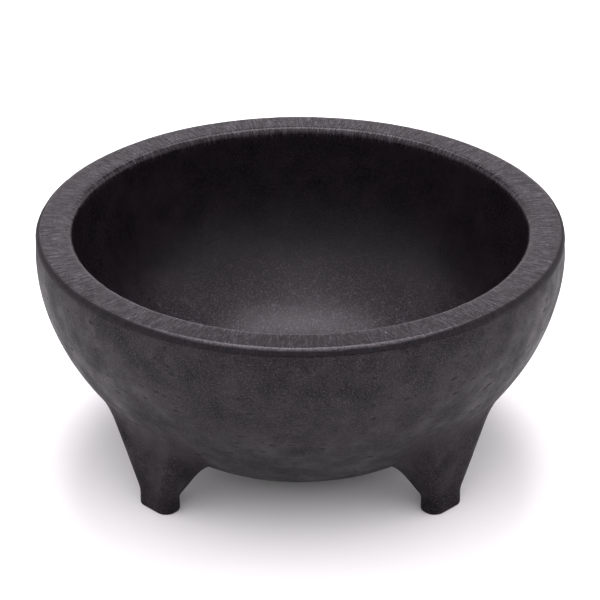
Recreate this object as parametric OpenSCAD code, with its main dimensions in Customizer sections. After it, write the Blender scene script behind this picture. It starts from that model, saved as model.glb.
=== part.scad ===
// Molcajete for the table: a round serving bowl with a flat rim, on four flared legs.
// A bowl with a rim flange drops into an outer shell and meets it at a seam under the lip.
// The legs are separate pieces that seat on the shell.
// The origin is on the floor, on the bowl's axis. The front legs lie towards -Y.

/* [Outer shell] */
// Outside diameter at the belly, the widest part
belly_d = 204; // [180:1:230]
// Height from the floor to the top of the rim
height = 94; // [85:1:110]
// Drop from the top of the rim to the belly
belly_drop = 9.2; // [7:0.1:12]
// Height of the flat underside above the floor
base_clearance = 3.5; // [2:0.5:6]
// How far below the flat underside the round outside would close
base_cut = 9.5; // [6:0.5:14]
// Wall of the outer shell
shell_wall = 3; // [2:0.1:4]
// Fullness of the outside curve, towards the belly
belly_fullness = 1.84; // [1.7:0.01:2.2]
// Fullness of the outside curve, towards the underside
base_fullness = 1.88; // [1.7:0.01:2.2]

/* [Rim and seam] */
// Inset of the rim's edge from the belly
lip_inset = 0.3; // [0.2:0.1:2]
// Height of the lip
lip_h = 2.5; // [2.5:0.1:4.5]
// Width of the rim, from its edge to the mouth
rim_w = 14.3; // [11:0.1:17]
// Rounding of the rim's outer edge
lip_round = 2.4; // [1:0.1:2.4]
// Rounding of the mouth's edge
mouth_round = 2.6; // [1.5:0.1:4]
// Depth of the shadow groove under the lip
groove_depth = 1.2; // [0.6:0.1:1.8]
// Width of the shell's top edge, which carries the lip
seat_w = 2.4; // [1.8:0.1:3]
// Height of the locating ring inside the shell's top edge
ring_h = 4; // [2:0.5:6]
// Thickness of the locating ring
ring_t = 2; // [1.2:0.1:2.6]
// Clearance between the locating ring and the shell
ring_clearance = 0.2; // [0.1:0.05:0.4]

/* [Inner bowl] */
// Wall of the bowl
bowl_wall = 3; // [2:0.1:4]
// Thickness of the whole base, from the bowl's floor to the underside
base_thickness = 14.5; // [12:0.5:20]
// Fullness of the bowl's inside, towards the mouth
mouth_fullness = 3; // [2.6:0.05:3.4]
// Fullness of the bowl's inside, towards its floor
floor_fullness = 2.5; // [2.2:0.05:2.8]

/* [Legs] */
// Inset of the middle of a foot from the belly
foot_inset = 26.1; // [22:0.1:30]
// Length of a foot's sole, away from the axis
foot_l = 10; // [8:0.5:13]
// Width of a foot's sole, across the leg
foot_w = 17; // [14:0.5:22]
// Corner radius of a foot
foot_corner = 4.6; // [2.5:0.1:4.9]
// Bevel round a sole
sole_bevel = 0.6; // [0.3:0.1:1]
// Height of the straight tip
tip_h = 6.5; // [5:0.5:9]
// Height over which the tip bends into the flare
tip_bend = 1.6; // [0.8:0.1:2.4]
// Outward lean of the leg's outer face, in degrees
outer_lean = 6.5; // [2:0.1:10]
// Spread of the leg's sides, in degrees
side_spread = 25; // [20:0.5:30]
// Inward lean of the leg's inner face, in degrees
inner_lean = 37.5; // [30:0.5:42]
// Growth of the corner radius with height
corner_growth = 0.14; // [0.05:0.01:0.2]
// Reach of the fillet between a leg and the shell
root_fillet = 5; // [3:0.5:7]
// Thickness of the fillet's edge on the shell
root_edge = 0.4; // [0.2:0.1:0.8]
// Bond line between a leg and the shell
bond_gap = 0.1; // [0.05:0.05:0.2]

/* [Hidden] */
charcoal = "#3d3b3d";
leg_step = 90;
front_left_turn = 225;

// Levels and radii that the pieces share
belly_r = belly_d / 2;
belly_z = height - belly_drop;
rim_r = belly_r - lip_inset;
mouth_r = rim_r - rim_w;
seam_z = height - lip_h;
seam_r = rim_r - groove_depth;
seat_r = seam_r - seat_w;
outside_drop = belly_z - base_clearance + base_cut;
bowl_floor_z = base_clearance + base_thickness;
mouth_z = height - mouth_round;
foot_r = belly_r - foot_inset;

// Facets and steps
curve_steps = 30;
round_steps = 8;
shoulder_steps = 8;
corner_steps = 4;
broad_steps = 6;
narrow_steps = 2;
root_steps = 4;
flare_steps = 3;
saddle_steps = 5;
search_steps = 24;
least_flat = 0.2;
turn_fn = 128;

// Superellipse from the axis, low down, to its widest point at height z
function bulge(r, z, drop, across, down, steps = curve_steps) = [
    for (i = [0 : steps])
        let (a = 90 * i / steps)
        [r * pow(sin(a), 2 / across), z - drop * pow(cos(a), 2 / down)]
];

// Arc about a centre, from angle a to angle b
function arc(centre, r, a, b) = [
    for (i = [0 : round_steps])
        let (t = a + (b - a) * i / round_steps)
        centre + r * [cos(t), sin(t)]
];

// Shoulder that turns from an upright wall at the belly to the level of the seam
function shoulder(wall_r, top_r) = [
    for (i = [1 : shoulder_steps])
        let (a = 90 * i / shoulder_steps)
        [top_r + (wall_r - top_r) * cos(a), belly_z + (seam_z - belly_z) * sin(a)]
];

function reversed(points) = [for (i = [len(points) - 1 : -1 : 0]) points[i]];

// Half outline of the shell's outside, closed along the axis
module shell_outline(wall) {
    top_r = wall == 0 ? seam_r : seat_r;
    curve = bulge(belly_r - wall, belly_z, outside_drop - wall, belly_fullness, base_fullness);
    intersection() {
        polygon(concat(curve, shoulder(belly_r - wall, top_r), [[0, seam_z]]));
        translate([0, base_clearance + wall])
            square([belly_d, height]);
    }
}

module outer_shell() {
    color(charcoal)
        rotate_extrude($fn = turn_fn)
            difference() {
                shell_outline(0);
                shell_outline(shell_wall);
            }
}

module inner_bowl() {
    inside = bulge(mouth_r, mouth_z, mouth_z - bowl_floor_z, mouth_fullness, floor_fullness);
    outside = bulge(mouth_r + bowl_wall, mouth_z, mouth_z - bowl_floor_z + bowl_wall,
                    mouth_fullness, floor_fullness);
    wall = [for (p = outside) if (p.y < seam_z) p];
    ring_r = seat_r - ring_clearance;
    color(charcoal)
        rotate_extrude($fn = turn_fn)
            polygon(concat(
                inside,
                arc([mouth_r + mouth_round, mouth_z], mouth_round, 180, 90),
                arc([rim_r - lip_round, height - lip_round], lip_round, 90, 0),
                [
                    [rim_r, seam_z],
                    [ring_r, seam_z],
                    [ring_r, seam_z - ring_h],
                    [ring_r - ring_t, seam_z - ring_h],
                    [ring_r - ring_t, seam_z],
                    [mouth_r + bowl_wall, seam_z]
                ],
                reversed(wall)
            ));
}

// Below zero inside the shell's outside face, grown by the bond line
function shell_level(p) = max(
    pow(norm([p.x, p.y]) / (belly_r + bond_gap), belly_fullness)
        + pow(max(0, belly_z - p.z) / (outside_drop + bond_gap), base_fullness) - 1,
    (base_clearance - bond_gap - p.z) / height
);

shell_middle = [0, 0, belly_z];

// Point of the shell's outside on the line from its middle through p
function on_shell(p, near = 0, far = 2, i = search_steps) =
    let (t = (near + far) / 2, q = shell_middle + t * (p - shell_middle))
    i == 0 ? q
        : shell_level(q) < 0 ? on_shell(p, t, far, i - 1) : on_shell(p, near, t, i - 1);

// Height gained past the tip, with a soft bend where the flare begins
function flare(h) =
    h < tip_h - tip_bend ? 0
        : h < tip_h + tip_bend ? pow(h - tip_h + tip_bend, 2) / (4 * tip_bend)
        : h - tip_h;

// Stations round the leg's section: the corner, the direction its edge faces and the share of
// the way along the straight stretch to the next corner
stations = [
    for (q = [0 : 3])
        let (straight = q % 2 == 0 ? narrow_steps : broad_steps)
        each concat(
            [for (i = [0 : corner_steps]) [q, 90 * (q + i / corner_steps), 0]],
            [for (j = [1 : straight - 1]) [q, 90 * (q + 1), j / straight]]
        )
];
leg_sides = len(stations);
around = [0 : leg_sides - 1];

// Which way the corners lie from the middle of the section
corner_signs = [[1, 1], [-1, 1], [-1, -1], [1, -1]];

// Point at station s of the leg's rounded section at height h, with the leg along +X
function leg_point(s, h, inset = 0) =
    let (
        rise = flare(h),
        outer = foot_l / 2 + tan(outer_lean) * rise - inset,
        inner = foot_l / 2 + tan(inner_lean) * rise - inset,
        half = [(outer + inner) / 2, foot_w / 2 + tan(side_spread) * rise - inset],
        corner = min(foot_corner + corner_growth * rise - inset, half.x - least_flat),
        signs = corner_signs[s[0]] * (1 - s[2]) + corner_signs[(s[0] + 1) % 4] * s[2]
    )
    [
        foot_r + (outer - inner) / 2 + signs.x * (half.x - corner) + corner * cos(s[1]),
        signs.y * (half.y - corner) + corner * sin(s[1]),
        h
    ];

// Height at which the leg's side at station s meets the shell
function root_height(s, low = 0, high = belly_z, i = search_steps) =
    let (h = (low + high) / 2)
    i == 0 ? h
        : shell_level(leg_point(s, h)) > 0 ? root_height(s, h, high, i - 1)
        : root_height(s, low, h, i - 1);

// One leg along +X: straight tip, flared sides, a fillet and a saddle that fits the shell
module leg_body() {
    tops = [for (s = stations) root_height(s)];
    centre = on_shell([foot_r, 0, 0]);
    corners = [for (k = around) leg_point(stations[k], tops[k])];
    seats = [for (c = corners) on_shell(c + root_fillet * (c - centre) / norm(c - centre))];
    edges = [for (p = seats) p + root_edge * (p - shell_middle) / norm(p - shell_middle)];
    bend_top = tip_h + tip_bend;
    starts = [for (t = tops) max(t - root_fillet, (bend_top + t) / 2)];
    sole = [
        [for (s = stations) leg_point(s, 0, sole_bevel)],
        [for (s = stations) leg_point(s, sole_bevel)],
        [for (s = stations) leg_point(s, tip_h - tip_bend)],
        [for (s = stations) leg_point(s, tip_h)]
    ];
    flank = [for (j = [0 : flare_steps]) [
        for (k = around)
            leg_point(stations[k], bend_top + (starts[k] - bend_top) * j / flare_steps)
    ]];
    root = [for (j = [1 : root_steps]) let (t = j / root_steps) [
        for (k = around)
            pow(1 - t, 2) * leg_point(stations[k], starts[k])
                + 2 * t * (1 - t) * corners[k] + pow(t, 2) * edges[k]
    ]];
    saddle = [for (j = [0 : saddle_steps - 1]) [
        for (p = seats) on_shell(p + (centre - p) * j / saddle_steps)
    ]];
    rings = concat(sole, flank, root, saddle);
    points = concat([for (ring = rings) each ring], [[foot_r, 0, 0], centre]);
    last = len(rings) - 1;
    sole_middle = len(points) - 2;
    saddle_middle = len(points) - 1;
    faces = concat(
        [for (j = [0 : last - 1], k = around)
            let (n = (k + 1) % leg_sides, low = j * leg_sides, up = low + leg_sides)
            each [[low + k, up + k, up + n], [low + k, up + n, low + n]]],
        [for (k = around) [sole_middle, k, (k + 1) % leg_sides]],
        [for (k = around)
            [saddle_middle, last * leg_sides + (k + 1) % leg_sides, last * leg_sides + k]]
    );
    polyhedron(points, faces);
}

module leg(steps) {
    color(charcoal)
        rotate(front_left_turn + steps * leg_step)
            leg_body();
}

module leg_front_left() { leg(0); }
module leg_front_right() { leg(1); }
module leg_rear_right() { leg(2); }
module leg_rear_left() { leg(3); }

inner_bowl();
outer_shell();
leg_front_left();
leg_front_right();
leg_rear_left();
leg_rear_right();
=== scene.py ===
from math import pi, radians

import bpy
import numpy as np
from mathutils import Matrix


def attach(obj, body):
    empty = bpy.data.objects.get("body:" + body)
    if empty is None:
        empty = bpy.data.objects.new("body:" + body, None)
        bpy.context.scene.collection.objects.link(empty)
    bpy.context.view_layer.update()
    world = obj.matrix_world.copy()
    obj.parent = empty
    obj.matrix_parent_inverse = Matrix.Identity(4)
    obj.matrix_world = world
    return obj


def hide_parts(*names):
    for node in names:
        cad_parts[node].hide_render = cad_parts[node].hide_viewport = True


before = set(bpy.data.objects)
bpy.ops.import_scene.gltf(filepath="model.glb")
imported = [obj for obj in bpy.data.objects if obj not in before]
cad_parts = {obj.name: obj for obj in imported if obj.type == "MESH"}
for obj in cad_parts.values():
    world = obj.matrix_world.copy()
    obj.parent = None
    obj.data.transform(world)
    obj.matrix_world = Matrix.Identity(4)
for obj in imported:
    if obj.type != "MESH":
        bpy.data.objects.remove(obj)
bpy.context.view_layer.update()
print("frame loaded")

scene = bpy.context.scene
scene.view_settings.view_transform = "Standard"  # plain sRGB tones
millimetre = 0.001  # Blender works in metres, the sizes of the pieces are in mm
halvings = 30       # steps of a search by halving


# sRGB hex to linear RGBA
def linearColour(hexText):
    srgb = np.array([int(hexText[i:i + 2], 16) for i in (1, 3, 5)]) / 255
    linear = np.where(srgb <= 0.04045, srgb / 12.92, ((srgb + 0.055) / 1.055) ** 2.4)
    return (*linear.tolist(), 1.0)


# Adds one node: the inputs are values, nodes (their first live output) or sockets, in the order of its live
# sockets or by name in a dictionary, and the settings are the node's own properties
def addNode(tree, kind, inputs=(), **settings):
    node = tree.nodes.new("ShaderNode" + kind)
    for key, value in settings.items():
        setattr(node, key, value)
    if isinstance(inputs, dict):
        pairs = [(node.inputs[key], value) for key, value in inputs.items()]
    else:
        pairs = zip([socket for socket in node.inputs if socket.enabled], inputs)
    for socket, value in pairs:
        if isinstance(value, bpy.types.Node):
            value = next(output for output in value.outputs if output.enabled)
        if isinstance(value, bpy.types.NodeSocket):
            tree.links.new(value, socket)
        else:
            socket.default_value = value
    return node


# Smooth random field: a sum of plane waves with random directions, lengths and phases, about -1 to 1
def ripples(points, wavelength, seed, count=20, spread=(0.7, 1.4)):
    rng = np.random.default_rng(seed)
    directions = rng.normal(size=(count, 3))
    directions /= np.linalg.norm(directions, axis=1, keepdims=True)
    lengths = wavelength * rng.uniform(*spread, count)
    phases = rng.uniform(0, 2 * pi, count)
    waves = points @ (2 * pi * directions / lengths[:, None]).T + phases
    return np.sin(waves).sum(axis=-1) / np.sqrt(2 * count)


# The same field as a share from 0 to 1
def softShare(points, wavelength, seed):
    return np.clip(0.5 + 0.5 * ripples(points, wavelength, seed), 0, 1)


# Superellipse from low on the axis out to its widest point: r sin(a)^(2/across), z - drop cos(a)^(2/down)
def bulgeCurve(r, z, drop, across, down, count):
    a = np.linspace(0, pi / 2, count)
    low = z - drop * np.clip(np.cos(a), 0, 1) ** (2 / down)
    return np.stack([r * np.sin(a) ** (2 / across), low], axis=1)


# Arc about a centre, angles in degrees
def arcCurve(r, z, size, start, stop, count):
    a = np.radians(np.linspace(start, stop, count))
    return np.stack([r + size * np.cos(a), z + size * np.sin(a)], axis=1)


# Straight run through the given corners, with the same number of points on each stretch
def straightRun(corners, count):
    corners = np.array(corners, float)
    share = np.linspace(0, 1, count)[:, None]
    return np.concatenate([a + (b - a) * share for a, b in zip(corners[:-1], corners[1:])])


# Puts vertices (mm) and faces into a mesh object, with its faces turned outwards by the sign of the volume
def makePiece(name, vertices, triangles, quads):
    faces = np.concatenate([triangles, quads[:, [0, 1, 2]], quads[:, [0, 2, 3]]])
    a, b, c = (vertices[faces[:, i]] for i in range(3))
    if np.einsum("ij,ij->i", a, np.cross(b, c)).sum() < 0:
        triangles = triangles[:, ::-1]
        quads = quads[:, ::-1]
    mesh = bpy.data.meshes.new(name)
    mesh.from_pydata((vertices * millimetre).tolist(), [], triangles.tolist() + quads.tolist())
    mesh.polygons.foreach_set("use_smooth", np.ones(len(mesh.polygons), bool))
    mesh.update()
    piece = bpy.data.objects.new(name, mesh)
    scene.collection.objects.link(piece)
    return piece


# Faces of a tube of rings that closes at a single point at each end, points ordered end, rings, end
def closedTubeFaces(rings, around):
    k = np.arange(around)
    nextK = (k + 1) % around
    low = 1 + around * np.arange(rings - 1)[:, None]
    quads = np.stack([low + k, low + nextK, low + around + nextK, low + around + k], axis=-1).reshape(-1, 4)
    lastRing = 1 + around * (rings - 1)
    startFan = np.stack([np.zeros_like(k), 1 + nextK, 1 + k], axis=1)
    stopFan = np.stack([np.full_like(k, 1 + around * rings), lastRing + k, lastRing + nextK], axis=1)
    return np.concatenate([startFan, stopFan]), quads


# A half section turned about Z: (r, z) at angle t goes to (r cos t, r sin t, z), then moves along its own
# normal by unevenness(points, section), which is zero on the axis
def turnedPiece(name, section, around, unevenness, closest=1e-4):
    keep = np.r_[True, np.linalg.norm(np.diff(section, axis=0), axis=1) > closest]  # no double points
    section = section[keep]
    slope = np.gradient(section, axis=0)
    normal = np.stack([slope[:, 1], -slope[:, 0]], axis=1)
    normal /= np.linalg.norm(normal, axis=1, keepdims=True)
    area = np.sum(section[:-1, 0] * section[1:, 1] - section[1:, 0] * section[:-1, 1])
    normal *= np.sign(area)  # out of the solid, whichever way the section runs
    t = 2 * pi * np.arange(around) / around
    spin = np.stack([np.cos(t), np.sin(t)], axis=1)
    inner = section[1:-1]
    points = np.concatenate([inner[:, None, :1] * spin,
                             np.repeat(inner[:, None, 1:], around, axis=1)], axis=2)
    push = np.concatenate([normal[1:-1, None, :1] * spin,
                           np.repeat(normal[1:-1, None, 1:], around, axis=1)], axis=2)
    points = points + push * unevenness(points, inner[:, None, :])[..., None]
    ends = np.array([[0, 0, section[0, 1]], [0, 0, section[-1, 1]]])
    vertices = np.concatenate([ends[:1], points.reshape(-1, 3), ends[1:]])
    return makePiece(name, vertices, *closedTubeFaces(len(inner), around))


# Inner bowl: the cavity, the flat rim and the lip, with the locating ring and the hidden outside below
bowl = {
    "rimRadius": 101.7, "rimTop": 94, "rimWidth": 14.3, "lipHeight": 2.5,
    "lipRound": 2.2, "mouthRound": 2.6, "lipUnderRound": 0.25,
    "floorHeight": 18, "mouthFullness": 3, "floorFullness": 2.5, "wall": 3,
    "ringRadius": 97.9, "ringThickness": 2, "ringHeight": 4,
    "around": 400, "cavitySteps": 110, "outsideSteps": 40, "mouthSteps": 9, "rimSteps": 14,
    "lipSteps": 8, "underSteps": 5, "ringSteps": 4,
    "swell": 0.08, "swellLength": 34, "swellSeed": 3,  # slow unevenness of the moulded faces
    "floorFade": 2,                                    # the swell grows over this height above the floor
    "nick": 0.12, "nickLength": 7, "nickSeed": 4,      # worn places along the two edges of the rim
    "nickWidth": 1.2, "nickDepth": 4, "nickFade": 2.5,
}


# Half section from the cavity's floor over the rim and the lip, round the ring and down the hidden outside
def bowlSection():
    mouth = bowl["rimRadius"] - bowl["rimWidth"]
    top = bowl["rimTop"]
    mouthTop = top - bowl["mouthRound"]
    depth = mouthTop - bowl["floorHeight"]
    seam = top - bowl["lipHeight"]
    edge = bowl["rimRadius"] - bowl["lipRound"]
    under = bowl["lipUnderRound"]
    ringIn = bowl["ringRadius"] - bowl["ringThickness"]
    ringLow = seam - bowl["ringHeight"]
    fullness = (bowl["mouthFullness"], bowl["floorFullness"])
    wall = bowl["wall"]
    outside = bulgeCurve(mouth + wall, mouthTop, depth + wall, *fullness, bowl["outsideSteps"])
    return np.concatenate([
        bulgeCurve(mouth, mouthTop, depth, *fullness, bowl["cavitySteps"]),
        arcCurve(mouth + bowl["mouthRound"], mouthTop, bowl["mouthRound"], 180, 90, bowl["mouthSteps"]),
        straightRun([[mouth + bowl["mouthRound"], top], [edge, top]], bowl["rimSteps"]),
        arcCurve(edge, top - bowl["lipRound"], bowl["lipRound"], 90, 0, bowl["lipSteps"]),
        straightRun([[bowl["rimRadius"], top - bowl["lipRound"]], [bowl["rimRadius"], seam + under]],
                    bowl["underSteps"]),
        arcCurve(bowl["rimRadius"] - under, seam + under, under, 0, -90, bowl["underSteps"]),
        straightRun([[bowl["rimRadius"] - under, seam], [bowl["ringRadius"], seam],
                     [bowl["ringRadius"], ringLow], [ringIn, ringLow], [ringIn, seam],
                     [mouth + wall, seam]], bowl["ringSteps"]),
        outside[outside[:, 1] < seam][::-1],
    ])


# The faces sink by a slow swell, and the two rounded edges of the rim also by short nicks
def bowlUnevenness(points, section):
    slow = softShare(points, bowl["swellLength"], bowl["swellSeed"])
    short = np.clip(ripples(points, bowl["nickLength"], bowl["nickSeed"]), 0, 1)
    r, z = section[..., 0], section[..., 1]
    mouth = bowl["rimRadius"] - bowl["rimWidth"] + bowl["mouthRound"] / 2
    width = bowl["nickWidth"]
    edges = np.exp(-((r - bowl["rimRadius"]) / width) ** 2) + np.exp(-((r - mouth) / width) ** 2)
    edges = edges * np.clip((z - bowl["rimTop"] + bowl["nickDepth"]) / bowl["nickFade"], 0, 1)
    shown = np.clip((z - bowl["floorHeight"]) / bowl["floorFade"], 0, 1)
    return -shown * bowl["swell"] * slow - edges * bowl["nick"] * short


innerBowl = turnedPiece("inner_bowl_moulding", bowlSection(), bowl["around"], bowlUnevenness)
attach(innerBowl, "root")
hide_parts("inner_bowl")
print("inner bowl made")


# Outer shell: the swelling wall with its rounded shoulder under the lip and a flat underside
shell = {
    "bellyRadius": 102, "bellyHeight": 84.8, "drop": 90.8, "baseHeight": 3.5,
    "bellyFullness": 1.84, "baseFullness": 1.88, "wall": 3,
    "seamHeight": 91.5, "seamRadius": 100.5, "seatRadius": 98.1,
    "around": 400, "outsideSteps": 110, "insideSteps": 40, "flatSteps": 8, "shoulderSteps": 12,
    "swell": 0.14, "swellLength": 26, "swellSeed": 11,    # slow unevenness of the wall
    "dimple": 0.06, "dimpleLength": 8, "dimpleSeed": 12,  # shallow dimples
    "baseFade": 3, "trueRows": 6,                         # none at the base, nor on the rows under the lip
}


# Half section of the shell's outside, wall mm further in: base, bulge and shoulder
def shellCurve(wall, topRadius, count, gap=0.05):
    radius = shell["bellyRadius"] - wall
    base = shell["baseHeight"] + wall
    curve = bulgeCurve(radius, shell["bellyHeight"], shell["drop"] - wall,
                       shell["bellyFullness"], shell["baseFullness"], count)
    flatRadius = np.interp(base, curve[:, 1], curve[:, 0])
    flat = straightRun([[0, base], [flatRadius, base]], shell["flatSteps"])
    a = np.linspace(0, pi / 2, shell["shoulderSteps"])[1:]
    rise = shell["seamHeight"] - shell["bellyHeight"]
    shoulder = np.stack([topRadius + (radius - topRadius) * np.cos(a),
                         shell["bellyHeight"] + rise * np.sin(a)], axis=1)
    return np.concatenate([flat, curve[curve[:, 1] > base + gap], shoulder])


# The outside sinks by a slow swell and shallow dimples, the inside stays true
def shellUnevenness(points, section):
    slow = softShare(points, shell["swellLength"], shell["swellSeed"])
    short = softShare(points, shell["dimpleLength"], shell["dimpleSeed"])
    outside = np.arange(section.shape[0])[:, None] < shell["outsideCount"]
    settled = np.clip((section[..., 1] - shell["baseHeight"]) / shell["baseFade"], 0, 1)
    return -1.0 * outside * settled * (shell["swell"] * slow + shell["dimple"] * short)


shellOutside = shellCurve(0, shell["seamRadius"], shell["outsideSteps"])
shellInside = shellCurve(shell["wall"], shell["seatRadius"], shell["insideSteps"])
shell["outsideCount"] = len(shellOutside) - shell["trueRows"]
outerShell = turnedPiece("outer_shell_moulding", np.concatenate([shellOutside, shellInside[::-1]]),
                         shell["around"], shellUnevenness)
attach(outerShell, "root")
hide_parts("outer_shell")
print("outer shell made")


# Legs: a rounded foot that flares on four sides, ends in a fillet and sits on the wall with a saddle
leg = {
    "footRadius": 75.9, "footLength": 10, "footWidth": 17, "footCorner": 4.6,
    "soleRound": 0.8, "tipHeight": 6.5, "tipBend": 1.6,
    "outerLean": 6.5, "sideSpread": 25, "innerLean": 37.5, "cornerGrowth": 0.14, "leastStraight": 0.2,
    "fillet": 6, "sink": 0.35, "saddleSink": 0.7,  # the fillet's end and the saddle lie inside the wall
    "cornerSteps": 10, "broadSteps": 26, "narrowSteps": 8,
    "soleRows": 6, "flankRows": 44, "filletRows": 16, "saddleRows": 6,
    "swell": 0.1, "swellLength": 14, "swellSeed": 30, "soleTrue": 1, "soleFade": 4,
    "rootReach": 6,  # rows below the fillet on which the painted sheen, a paler colour, begins
    "turns": {"leg_front_left": 225, "leg_front_right": 315, "leg_rear_right": 45, "leg_rear_left": 135},
}


# Stations round the section: corner signs blended along the straight stretches, and the way the edge faces
def legStations():
    corners = np.array([[1, 1], [-1, 1], [-1, -1], [1, -1]], float)
    signs, turns = [], []
    for quarter in range(4):
        straight = leg["broadSteps"] if quarter % 2 else leg["narrowSteps"]
        share = np.arange(1, straight)[:, None] / straight
        here = corners[quarter]
        ahead = corners[(quarter + 1) % 4]
        signs.append(np.repeat(here[None], leg["cornerSteps"] + 1, axis=0))
        signs.append(here + (ahead - here) * share)
        turns.append(90 * (quarter + np.linspace(0, 1, leg["cornerSteps"] + 1)))
        turns.append(np.full(straight - 1, 90.0 * (quarter + 1)))
    return np.concatenate(signs), np.radians(np.concatenate(turns))


legSigns, legFacing = legStations()


# Point of the flank at every station, with the leg along +X: a rounded rectangle whose four sides move out
# in step with the height gained past the tip; a parabola from tipBend below it to tipBend above eases it in
def legPoint(height, inset=0.0):
    bend = leg["tipBend"]
    past = height - leg["tipHeight"]
    rise = np.where(past > bend, past, np.clip(past + bend, 0, None) ** 2 / (4 * bend))
    outer = leg["footLength"] / 2 + np.tan(radians(leg["outerLean"])) * rise - inset
    inner = leg["footLength"] / 2 + np.tan(radians(leg["innerLean"])) * rise - inset
    halfLength = (outer + inner) / 2
    halfWidth = leg["footWidth"] / 2 + np.tan(radians(leg["sideSpread"])) * rise - inset
    corner = leg["footCorner"] + leg["cornerGrowth"] * rise - inset
    corner = np.minimum(corner, halfLength - leg["leastStraight"])
    middle = leg["footRadius"] + (outer - inner) / 2
    x = middle + legSigns[:, 0] * (halfLength - corner) + corner * np.cos(legFacing)
    y = legSigns[:, 1] * (halfWidth - corner) + corner * np.sin(legFacing)
    return np.stack([x, y, height + 0 * x], axis=-1)


# Below zero inside the shell's outside face
def shellLevel(points):
    across = np.hypot(points[..., 0], points[..., 1]) / shell["bellyRadius"]
    down = np.clip(shell["bellyHeight"] - points[..., 2], 0, None) / shell["drop"]
    return across ** shell["bellyFullness"] + down ** shell["baseFullness"] - 1


# Where lines from the shell's middle through the points meet its outside, found by halving, then sunk
def onShell(points, sink):
    middle = np.array([0, 0, shell["bellyHeight"]])
    ray = points - middle
    near = np.zeros(points.shape[:-1])
    far = near + 2  # twice as far out as the points
    for step in range(halvings):
        half = (near + far) / 2
        inside = shellLevel(middle + half[..., None] * ray) < 0
        near = np.where(inside, half, near)
        far = np.where(inside, far, half)
    found = middle + near[..., None] * ray
    return found - sink * ray / np.linalg.norm(ray, axis=-1, keepdims=True)


# Height at which each station's line meets the shell, found by halving
def legTops():
    low = np.zeros(len(legFacing))
    high = low + shell["bellyHeight"]
    for step in range(halvings):
        half = (low + high) / 2
        outside = shellLevel(legPoint(half)) > 0
        low = np.where(outside, half, low)
        high = np.where(outside, high, half)
    return low


# Rows of the leg from the sole up: rounded sole edge, flank, quadratic fillet, saddle
def legRows():
    tops = legTops()
    crossing = legPoint(tops)
    centre = onShell(np.array([leg["footRadius"], 0, 0.0]), leg["sink"])
    away = crossing - centre
    reach = np.linalg.norm(away, axis=1, keepdims=True)
    seat = onShell(crossing + leg["fillet"] * away / reach, leg["sink"])
    bendTop = leg["tipHeight"] + leg["tipBend"]
    start = np.maximum(tops - leg["fillet"], (bendTop + tops) / 2)
    a = np.linspace(0, pi / 2, leg["soleRows"])
    sole = [legPoint(leg["soleRound"] * (1 - np.cos(t)), leg["soleRound"] * (1 - np.sin(t))) for t in a]
    share = np.linspace(0, 1, leg["flankRows"])[1:]
    flank = [legPoint(leg["soleRound"] + (start - leg["soleRound"]) * s) for s in share]
    begin = flank[-1]
    share = np.linspace(0, 1, leg["filletRows"])[1:]
    fillet = [(1 - s) ** 2 * begin + 2 * s * (1 - s) * crossing + s ** 2 * seat for s in share]
    share = np.linspace(0, 1, leg["saddleRows"])[1:-1]
    saddle = [onShell(seat + (centre - seat) * s, leg["saddleSink"]) for s in share]
    return np.array(sole + flank + fillet + saddle), centre


# One leg: the rows turned about Z to its place, with a slow unevenness that fades at the sole
def makeLeg(name, turn, seed, tiny=1e-6):
    rows, centre = legRows()
    middle = rows.mean(axis=1, keepdims=True)
    outward = (rows - middle) * np.array([1, 1, 0])
    outward /= np.maximum(np.linalg.norm(outward, axis=-1, keepdims=True), tiny)
    settled = np.clip((rows[..., 2:] - leg["soleTrue"]) / leg["soleFade"], 0, 1)
    slow = softShare(rows, leg["swellLength"], seed)[..., None]
    rows = rows - outward * settled * leg["swell"] * slow
    angle = radians(turn)
    spin = np.array([[np.cos(angle), -np.sin(angle), 0], [np.sin(angle), np.cos(angle), 0], [0, 0, 1]])
    ends = np.array([[leg["footRadius"], 0, 0], centre])
    points = np.concatenate([ends[:1], rows.reshape(-1, 3), ends[1:]]) @ spin.T
    piece = makePiece(name + "_moulding", points, *closedTubeFaces(len(rows), rows.shape[1]))
    # near_wall rises from 0 on the flank to 1 along the fillet, and the material is painted paler with it,
    # a painted sheen
    firstFillet = leg["soleRows"] + leg["flankRows"] - 1
    root = np.clip((np.arange(len(rows)) - firstFillet + leg["rootReach"]) / leg["filletRows"], 0, 1)
    nearWall = piece.data.attributes.new("near_wall", "FLOAT", "POINT")
    nearWall.data.foreach_set("value", np.r_[0, np.repeat(root, rows.shape[1]), 1])
    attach(piece, "root")
    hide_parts(name)
    return piece


legPieces = []
for seed, (name, turn) in enumerate(leg["turns"].items(), leg["swellSeed"]):
    legPieces.append(makeLeg(name, turn, seed))
print("legs made")


# Moulded charcoal polypropylene: near black with soft clouds and a fine grit, dull, so that it shows the
# pale room at a slant and little colour of its own. Sizes of patterns are in mm, bumps in m; each range
# gives the noise values at which a pattern starts and is full
plastic = {
    "ior": 1.49, "dark": "#060406", "fineness": 0.65,  # share of each finer layer of noise
    "cloudSize": 14, "cloudDetail": 5, "cloudRange": (0.38, 0.64),
    "gritSize": 0.42, "gritDetail": 3,  # finer on the real one, drawn as coarse as it needs to show
}


def perMetre(millimetres):  # pattern scale that repeats at this size
    return 1 / (millimetres * millimetre)


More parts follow.
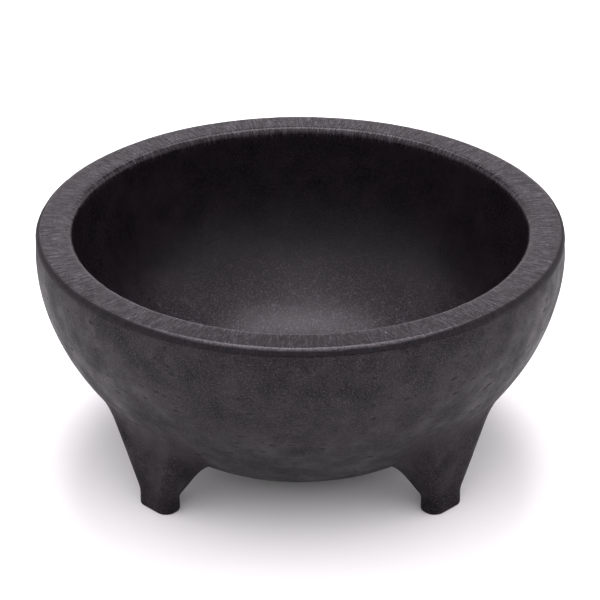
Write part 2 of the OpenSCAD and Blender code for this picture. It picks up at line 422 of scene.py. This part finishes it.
# A new material with the plastic's clouds and grit; the rest is added by the function of each piece
def startPlastic(name, light):
    material = bpy.data.materials.new(name)
    material.use_nodes = True
    tree = material.node_tree
    tree.nodes.clear()
    here = addNode(tree, "TexCoord").outputs["Object"]
    cloud = addNode(tree, "TexNoise", [here, perMetre(plastic["cloudSize"]), plastic["cloudDetail"],
                                       plastic["fineness"]])
    grit = addNode(tree, "TexNoise", [here, perMetre(plastic["gritSize"]), plastic["gritDetail"],
                                      plastic["fineness"]])
    clouds = addNode(tree, "MapRange", [cloud, *plastic["cloudRange"]])
    shades = [linearColour(plastic["dark"]), linearColour(light)]
    colour = addNode(tree, "Mix", [clouds, *shades], data_type="RGBA")
    return material, here, cloud, grit, colour


# The shader with the finished colour, roughness and bumps
def finishPlastic(material, colour, roughness, normal, gloss):
    tree = material.node_tree
    shader = addNode(tree, "BsdfPrincipled", {
        "Base Color": colour, "Roughness": roughness, "IOR": plastic["ior"],
        "Specular IOR Level": gloss, "Normal": normal})
    addNode(tree, "OutputMaterial", {"Surface": shader})
    return material


# Wall: stone-like grit from a textured mould, with ragged shallow pits that lie along the wall
wallLook = {
    "gloss": 0.185, "light": "#1c191c", "roughness": (0.7, 0.4), "roughRange": (0.3, 0.7),
    "grit": "#3f3b3f", "gritRange": (0.49, 0.7), "gritBump": 0.00014,
    # colour and share of the painted sheen on the legs where they run into the wall
    "rootSheen": "#302c30", "rootSheenShare": 0.6,
    "pitSize": 6.5, "pitFlat": 1.9, "pitReach": (0.02, 0.3),  # mm apart, times as wide as tall, cell shares
    "pitRagged": 3, "raggedSize": 1.6, "raggedDetail": 2,     # mm of drift, mm, layers
    "pitPlaces": (0.46, 0.56), "pitShare": 0.85, "pitRoughness": 0.8, "pitBump": 0.00016,
}
# Legs: the same with less gloss and fainter pits, and a painted sheen, paler, where they run into the wall
legLook = {**wallLook, "gloss": 0.09, "pitShare": 0.35}


def wallPlastic(name, look):
    material, here, cloud, grit, colour = startPlastic(name, look["light"])
    tree = material.node_tree
    gritty = addNode(tree, "MapRange", [grit, *look["gritRange"]])
    colour = addNode(tree, "Mix", [gritty, colour, linearColour(look["grit"])], data_type="RGBA")
    # only the legs carry near_wall, so it is 0 on the wall; along it the legs are painted paler as a
    # painted sheen
    nearWall = addNode(tree, "Attribute", attribute_name="near_wall").outputs["Fac"]
    rootSheenShare = addNode(tree, "Math", [nearWall, look["rootSheenShare"]], operation="MULTIPLY")
    colour = addNode(tree, "Mix", [rootSheenShare, colour, linearColour(look["rootSheen"])], data_type="RGBA")
    roughness = addNode(tree, "MapRange", [cloud, *look["roughRange"], *look["roughness"]])
    # pits: cells that are flattened and then drawn ragged, only where the clouds are pale, with painted
    # shade inside
    flat = addNode(tree, "VectorMath", [here, (1, 1, look["pitFlat"])], operation="MULTIPLY")
    ragged = addNode(tree, "TexNoise", [here, perMetre(look["raggedSize"]), look["raggedDetail"]])
    reach = look["pitRagged"] * millimetre
    drift = addNode(tree, "VectorMath", [ragged.outputs["Color"], reach], operation="SCALE")
    drawn = addNode(tree, "VectorMath", [flat, drift], operation="ADD")
    cells = addNode(tree, "TexVoronoi", {"Vector": drawn, "Scale": perMetre(look["pitSize"])})
    depth = addNode(tree, "MapRange", [cells, *look["pitReach"], look["pitShare"], 0])
    places = addNode(tree, "MapRange", [cloud, *look["pitPlaces"]])
    pit = addNode(tree, "Math", [depth, places], operation="MULTIPLY")
    # painted shade: the pits are coloured darker
    colour = addNode(tree, "Mix", [pit, colour, linearColour(plastic["dark"])], data_type="RGBA")
    roughness = addNode(tree, "Mix", [pit, roughness, look["pitRoughness"]])
    gritBump = addNode(tree, "Bump", {"Height": grit, "Strength": 1, "Distance": look["gritBump"]})
    pitBump = addNode(tree, "Bump", {"Height": pit, "Strength": 1, "Distance": look["pitBump"],
                                     "Normal": gritBump}, invert=True)
    return finishPlastic(material, colour, roughness, pitBump, look["gloss"])


# Bowl: smoother inside, with a rim that was brushed outwards, so it is streaked along its width and paler,
# and painted shade on the face under the rim's outer edge. Heights, depths, radii and ragged edges are in m
bowlLook = {
    "gloss": 0.17, "light": "#161316", "roughness": (0.32, 0.22), "roughRange": (0.35, 0.65),
    "grit": "#282428", "gritRange": (0.42, 0.72), "gritBump": 0.00007,
    "streakSize": 0.8, "streakStretch": 5, "streakDetail": 5,  # mm wide, times as long, layers
    "streakBump": 0.00012,
    "patchSize": 4.5, "patchDetail": 3,
    "fleckSize": 0.7, "fleckDetail": 4, "paleLowHeights": (0.050, 0.025),
    "paleLowLayers": (("#4a464a", 0.15, (0.48, 0.66)),  # colour, patchiness, range
                    ("#5a565a", 0.3, (0.6, 0.7))),
    "rimHeights": (0.0900, 0.0930), "rimDark": "#040304", "rimLight": "#3e3a3e", "rimRange": (0.46, 0.6),
    "rimRoughness": (0.2, 0.12), "rimRoughRange": (0.42, 0.58), "grainShare": 0.48, "patchShare": 0.35,
    "speck": "#747074", "speckStreaks": 0.5, "speckRange": (0.59, 0.68),
    # the rim is painted darker in front, and the face under its outer edge starts further out there
    "frontDepths": (-0.075, -0.094), "frontDarkening": 0.6, "frontShadeShift": 0.0009, "edgeRadii": (0.0994, 0.1001),
    # pale wear with a painted highlight along the rim's outer edge in front
    "wearAndHighlightRange": (0.4, 0.6), "wearAndHighlightShares": (0.05, 0.4),
    # painted shade on the face under the rim's outer edge: its colours, where it lies and how ragged its
    # line is
    "lipRadii": (0.1003, 0.1010), "lipShadeDark": "#030203", "lipShadeLight": "#242024", "lipRange": (0.42, 0.65),
    "lipRoughness": 0.66, "lipRagged": 0.0012, "lipPatches": 0.7,
}


def bowlPlastic(name):
    look = bowlLook
    material, here, _, grit, colour = startPlastic(name, look["light"])
    tree = material.node_tree
    gritty = addNode(tree, "MapRange", [grit, *look["gritRange"]])
    colour = addNode(tree, "Mix", [gritty, colour, linearColour(look["grit"])], data_type="RGBA")
    roughness = addNode(tree, "MapRange", [grit, *look["roughRange"], *look["roughness"]])
    place = addNode(tree, "SeparateXYZ", [here])
    height = place.outputs["Z"]
    level = addNode(tree, "VectorMath", [here, (1, 1, 0)], operation="MULTIPLY")
    radius = addNode(tree, "VectorMath", [level], operation="LENGTH")
    # streaks: noise that runs with the compass direction and only slowly with the place
    compass = addNode(tree, "VectorMath", [level], operation="NORMALIZE")
    ring = addNode(tree, "VectorMath", [compass, bowl["rimRadius"] * millimetre], operation="SCALE")
    along = addNode(tree, "VectorMath", [here, 1 / look["streakStretch"]], operation="SCALE")
    swept = addNode(tree, "VectorMath", [ring, along], operation="ADD")
    streak = addNode(tree, "TexNoise", [swept, perMetre(look["streakSize"]), look["streakDetail"],
                                        plastic["fineness"]])
    patch = addNode(tree, "TexNoise", [here, perMetre(look["patchSize"]), look["patchDetail"],
                                       plastic["fineness"]])
    flecks = addNode(tree, "TexNoise", [here, perMetre(look["fleckSize"]), look["fleckDetail"],
                                        plastic["fineness"]])
    # paler flecks low down inside, denser in some places than in others
    lowDown = addNode(tree, "MapRange", [height, *look["paleLowHeights"]])
    for paleLowColour, patchiness, paleLowRange in look["paleLowLayers"]:
        dense = addNode(tree, "Mix", [patchiness, flecks, patch])
        shown = addNode(tree, "MapRange", [dense, *paleLowRange])
        paledLow = addNode(tree, "Math", [shown, lowDown], operation="MULTIPLY")
        colour = addNode(tree, "Mix", [paledLow, colour, linearColour(paleLowColour)], data_type="RGBA")
    # the brushed rim, painted darker in front but for its outer edge
    onRim = addNode(tree, "MapRange", [height, *look["rimHeights"]])
    onFront = addNode(tree, "MapRange", [place.outputs["Y"], *look["frontDepths"]])
    outerEdge = addNode(tree, "MapRange", [radius, *look["edgeRadii"]])
    onEdge = addNode(tree, "Math", [onFront, outerEdge], operation="MULTIPLY")
    inFront = addNode(tree, "Math", [onFront, onEdge], operation="SUBTRACT")
    frontDarkened = addNode(tree, "MapRange", [inFront, 0, 1, 1, look["frontDarkening"]])
    grain = addNode(tree, "Mix", [look["patchShare"], grit, patch])
    brushed = addNode(tree, "Mix", [look["grainShare"], streak, grain])
    brushedPale = addNode(tree, "MapRange", [brushed, *look["rimRange"]])
    pale = addNode(tree, "Math", [brushedPale, frontDarkened], operation="MULTIPLY")
    rimShades = [linearColour(look["rimDark"]), linearColour(look["rimLight"])]
    rimColour = addNode(tree, "Mix", [pale, *rimShades], data_type="RGBA")
    # specks where the rim's surface is broken, and along its outer edge in front pale wear with a painted
    # highlight, in the specks' colour
    broken = addNode(tree, "Mix", [look["speckStreaks"], flecks, streak])
    speck = addNode(tree, "MapRange", [broken, *look["speckRange"]])
    wearAndHighlightPattern = addNode(tree, "MapRange", [flecks, *look["wearAndHighlightRange"], *look["wearAndHighlightShares"]])
    wearAndHighlight = addNode(tree, "Math", [onEdge, wearAndHighlightPattern], operation="MULTIPLY")
    specksWearAndHighlight = addNode(tree, "Math", [speck, wearAndHighlight], operation="MAXIMUM")
    rimColour = addNode(tree, "Mix", [specksWearAndHighlight, rimColour, linearColour(look["speck"])], data_type="RGBA")
    rimRoughness = addNode(tree, "MapRange", [brushed, *look["rimRoughRange"], *look["rimRoughness"]])
    colour = addNode(tree, "Mix", [onRim, colour, rimColour], data_type="RGBA")
    roughness = addNode(tree, "Mix", [onRim, roughness, rimRoughness])
    # painted shade on the face under the outer edge, which starts at a ragged line, further out in front
    raggedness = addNode(tree, "Mix", [look["lipPatches"], streak, patch])
    ragged = addNode(tree, "Math", [raggedness, look["lipRagged"]], operation="MULTIPLY")
    lipShadeShift = addNode(tree, "Math", [onFront, look["frontShadeShift"]], operation="MULTIPLY")
    ragged = addNode(tree, "Math", [ragged, lipShadeShift], operation="SUBTRACT")
    raggedRadius = addNode(tree, "Math", [radius, ragged], operation="ADD")
    inLipShade = addNode(tree, "MapRange", [raggedRadius, *look["lipRadii"]])
    lipPale = addNode(tree, "MapRange", [brushed, *look["lipRange"]])
    lipShadeColours = [linearColour(look["lipShadeDark"]), linearColour(look["lipShadeLight"])]
    lipShadeColour = addNode(tree, "Mix", [lipPale, *lipShadeColours], data_type="RGBA")
    # painted shade: the face under the outer edge is coloured dark
    colour = addNode(tree, "Mix", [inLipShade, colour, lipShadeColour], data_type="RGBA")
    roughness = addNode(tree, "Mix", [inLipShade, roughness, look["lipRoughness"]])
    gritBump = addNode(tree, "Bump", {"Height": grit, "Strength": 1, "Distance": look["gritBump"]})
    streakBump = addNode(tree, "Bump", {"Height": streak, "Strength": onRim, "Distance": look["streakBump"],
                                        "Normal": gritBump})
    return finishPlastic(material, colour, roughness, streakBump, look["gloss"])


innerBowl.data.materials.append(bowlPlastic("moulded_charcoal_polypropylene_brushed_rim"))
outerShell.data.materials.append(wallPlastic("moulded_charcoal_polypropylene_wall", wallLook))
legPlastic = wallPlastic("moulded_charcoal_polypropylene_legs", legLook)
for piece in legPieces:
    piece.data.materials.append(legPlastic)
print("materials made")


# Pale floor, soft studio light and the camera of the photo. Heights, depths and widths of the room are
# parts of the direction looked in, from -1 to 1
studio = {
    "floorSize": 6, "floorColour": "#fafcfa", "floorRoughness": 1, "floorGloss": 0,
    "lightColour": "#fff9ff", "room": 1.5,
    "cameraSide": 0.55, "cameraSideDepths": (-1, -0.35),  # darker towards the camera
    "farSide": 0.1, "farSideDepths": (0.1, 0.5), "farSideHeights": (0.33, 0.47),  # and half way up behind
    "overhead": 1.7, "overheadHeights": (0.4, 1), "overheadWidths": (0.04, 0.38), "overheadSides": 0.12,
    "topSize": 0.8, "topPlace": (0, 0.75, 1.5), "topTilt": -27, "topPower": 18,
    "cameraPlace": (-0.00011, -0.9804, 0.5775), "cameraTilt": 62.196, "lens": 170.5, "sensor": 36,
}
half = studio["floorSize"] / 2
floorCorners = [(-half, -half, 0), (half, -half, 0), (half, half, 0), (-half, half, 0)]
floorMesh = bpy.data.meshes.new("studio_floor")
floorMesh.from_pydata(floorCorners, [], [(0, 1, 2, 3)])
floor = bpy.data.objects.new("studio_floor", floorMesh)
scene.collection.objects.link(floor)
floorPaint = bpy.data.materials.new("matt_white_paper")
floorPaint.use_nodes = True
floorShader = floorPaint.node_tree.nodes["Principled BSDF"]
floorShader.inputs["Base Color"].default_value = linearColour(studio["floorColour"])
floorShader.inputs["Roughness"].default_value = studio["floorRoughness"]
floorShader.inputs["Specular IOR Level"].default_value = studio["floorGloss"]
floorMesh.materials.append(floorPaint)

world = bpy.data.worlds.new("studio_room")
scene.world = world
world.use_nodes = True
room = world.node_tree
direction = addNode(room, "TexCoord").outputs["Generated"]
lookX, lookY, lookZ = addNode(room, "SeparateXYZ", [direction]).outputs
soft = {"interpolation_type": "SMOOTHSTEP"}
farBack = addNode(room, "MapRange", [lookY, *studio["farSideDepths"]], **soft)
farUp = addNode(room, "MapRange", [lookZ, *studio["farSideHeights"]], **soft)
behind = addNode(room, "Math", [farBack, farUp], operation="MULTIPLY")
farTone = addNode(room, "MapRange", [behind, 0, 1, 1, studio["farSide"]], **soft)
frontTone = addNode(room, "MapRange", [lookY, *studio["cameraSideDepths"], studio["cameraSide"], 1], **soft)
walls = addNode(room, "Math", [frontTone, farTone], operation="MULTIPLY")
sideways = addNode(room, "Math", [lookX], operation="ABSOLUTE")
stripTones = (1, studio["overheadSides"])
stripTone = addNode(room, "MapRange", [sideways, *studio["overheadWidths"], *stripTones], **soft)
overhead = addNode(room, "MapRange", [lookZ, *studio["overheadHeights"]], **soft)
strip = addNode(room, "Math", [overhead, stripTone], operation="MULTIPLY")
wallLight = addNode(room, "Math", [walls, studio["room"]], operation="MULTIPLY")
stripLight = addNode(room, "Math", [strip, studio["overhead"]], operation="MULTIPLY")
glow = addNode(room, "Math", [wallLight, stripLight], operation="ADD")
background = room.nodes["Background"]
background.inputs["Color"].default_value = linearColour(studio["lightColour"])
room.links.new(glow.outputs[0], background.inputs["Strength"])

topLight = bpy.data.lights.new("top_softbox", "AREA")
topLight.size = studio["topSize"]
topLight.energy = studio["topPower"]
topLight.color = linearColour(studio["lightColour"])[:3]
topLamp = bpy.data.objects.new("top_softbox", topLight)
topLamp.location = studio["topPlace"]
topLamp.rotation_euler = (radians(studio["topTilt"]), 0, 0)
scene.collection.objects.link(topLamp)

camera = bpy.data.cameras.new("photo_camera")
camera.sensor_width = studio["sensor"]
camera.sensor_fit = "HORIZONTAL"
camera.lens = studio["lens"]
cameraObject = bpy.data.objects.new("photo_camera", camera)
cameraObject.location = studio["cameraPlace"]
cameraObject.rotation_euler = (radians(studio["cameraTilt"]), 0, 0)
scene.collection.objects.link(cameraObject)
scene.camera = cameraObject
print("studio made")
